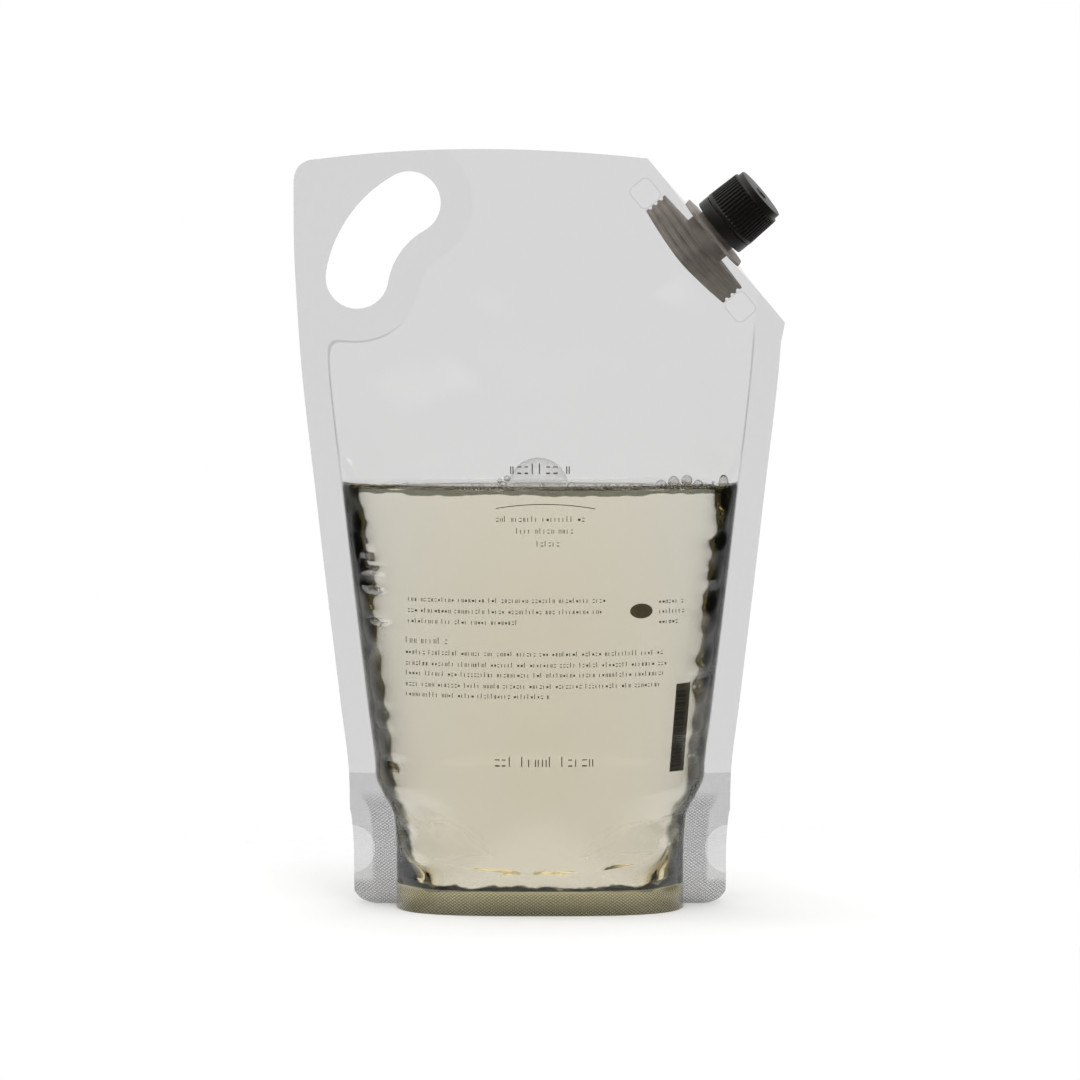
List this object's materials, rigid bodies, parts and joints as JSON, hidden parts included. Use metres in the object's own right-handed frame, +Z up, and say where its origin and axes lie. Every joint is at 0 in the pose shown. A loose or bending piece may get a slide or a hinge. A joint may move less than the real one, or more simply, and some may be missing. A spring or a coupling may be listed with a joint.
{
  "type": "hand soap refill pack",
  "caption": "Clear stand-up refill pouch of liquid hand soap with an oval gusset foot, a punched hand hole and a corner spout with a ribbed screw cap",
  "frame": {"origin": "centre of the oval foot, on the surface the pack stands on", "axes": "+Z up, -Y the printed front, +X towards the spout"},
  "size_m": [0.1792, 0.0864, 0.2769],
  "materials": {
    "film": "clear laminated film",
    "hand_wash": "clear olive liquid",
    "natural_plastic": "smoky translucent moulding",
    "black_plastic": "satin moulded black"
  },
  "bodies": {
    "pouch": {"front_panel": "film", "back_panel": "film", "bottom_gusset": "film", "hand_wash": "hand_wash", "spout": "natural_plastic"},
    "tamper_ring": {"tamper_ring": "black_plastic"},
    "cap": {"cap": "black_plastic"}
  },
  "joints": [
    {"name": "ring_turn", "type": "hinge", "parent": "pouch", "child": "tamper_ring", "pos_m": [0.06696, -0.00598, 0.24954], "axis": [0.7606, -0.1191, 0.6382], "range_deg": [0, 1800]},
    {"name": "cap_lift", "type": "slide", "parent": "tamper_ring", "child": "cap", "axis": [0.7606, -0.1191, 0.6382], "range_m": [0, 0.0161]}
  ],
  "couplings": [
    {"joint": "cap_lift", "follows": "ring_turn", "m_per_rad": 0.0005093}
  ]
}
